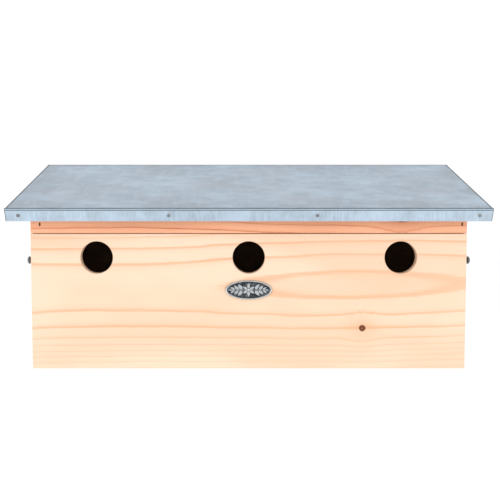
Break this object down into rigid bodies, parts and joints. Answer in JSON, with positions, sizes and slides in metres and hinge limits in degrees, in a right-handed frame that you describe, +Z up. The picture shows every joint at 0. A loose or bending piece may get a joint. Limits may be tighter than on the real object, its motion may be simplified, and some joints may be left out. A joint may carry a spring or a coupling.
{
  "type": "birdhouse",
  "caption": "Wooden terrace nest box with a sheet-metal pent roof, round entrances in a row, inner partitions, and a front that folds down and is held by side hooks.",
  "frame": {"origin": "bottom centre of the whole box, on the plane of the underside", "axes": "+X along the long front, +Y towards the wall it hangs on, +Z up"},
  "size_m": [0.5012, 0.21, 0.22],
  "materials": {
    "pine_front": "raw planed pine, long flat-sawn grain, one small knot",
    "pine_rail": "raw planed pine, warmer, flat-sawn grain",
    "pine_boards": "raw planed pine with end grain",
    "zinc_sheet": "dull zinc-coated sheet, faintly cloudy and streaked",
    "badge_metal": "cast, rubbed bright on the raised parts",
    "galvanised_plate": "zinc-plated stamped strip",
    "zinc_plated_screw": "zinc-plated, slightly dulled",
    "bright_nail": "plain steel wire nail, dulled"
  },
  "bodies": {
    "box": {"top_rail": "pine_rail", "rail_brads": "bright_nail", "side_wall_left": "pine_boards", "side_wall_right": "pine_boards", "back_panel": "pine_boards", "floor_panel": "pine_boards", "partition_left": "pine_boards", "partition_right": "pine_boards", "pivot_nail_left": "bright_nail", "pivot_nail_right": "bright_nail", "hook_screw_left": "zinc_plated_screw", "hook_screw_right": "zinc_plated_screw", "roof_board": "pine_boards", "roof_board_nails": "bright_nail", "roof_sheet": "zinc_sheet", "roof_sheet_nails": "bright_nail", "back_nails": "bright_nail", "side_nails": "bright_nail", "floor_nails": "bright_nail", "hanger_plate_left": "galvanised_plate", "hanger_plate_right": "galvanised_plate", "hanger_screws": "zinc_plated_screw"},
    "front": {"front_panel": "pine_front", "front_batten_left": "pine_front", "front_batten_right": "pine_front", "batten_screws": "zinc_plated_screw", "catch_screw_left": "zinc_plated_screw", "catch_screw_right": "zinc_plated_screw", "badge": "badge_metal", "badge_pins": "bright_nail"},
    "left_hook": {"hook_left": "galvanised_plate"},
    "right_hook": {"hook_right": "galvanised_plate"}
  },
  "joints": [
    {"name": "front_fold", "type": "hinge", "parent": "box", "child": "front", "pos_m": [0, -0.0634, 0.0076], "axis": [1, 0, 0], "range_deg": [0, 90]},
    {"name": "left_hook_turn", "type": "hinge", "parent": "box", "child": "left_hook", "pos_m": [-0.2296, -0.0374, 0.1154], "axis": [1, 0, 0], "range_deg": [0, 270]},
    {"name": "right_hook_turn", "type": "hinge", "parent": "box", "child": "right_hook", "pos_m": [0.2296, -0.0374, 0.1154], "axis": [1, 0, 0], "range_deg": [0, 270]}
  ]
}
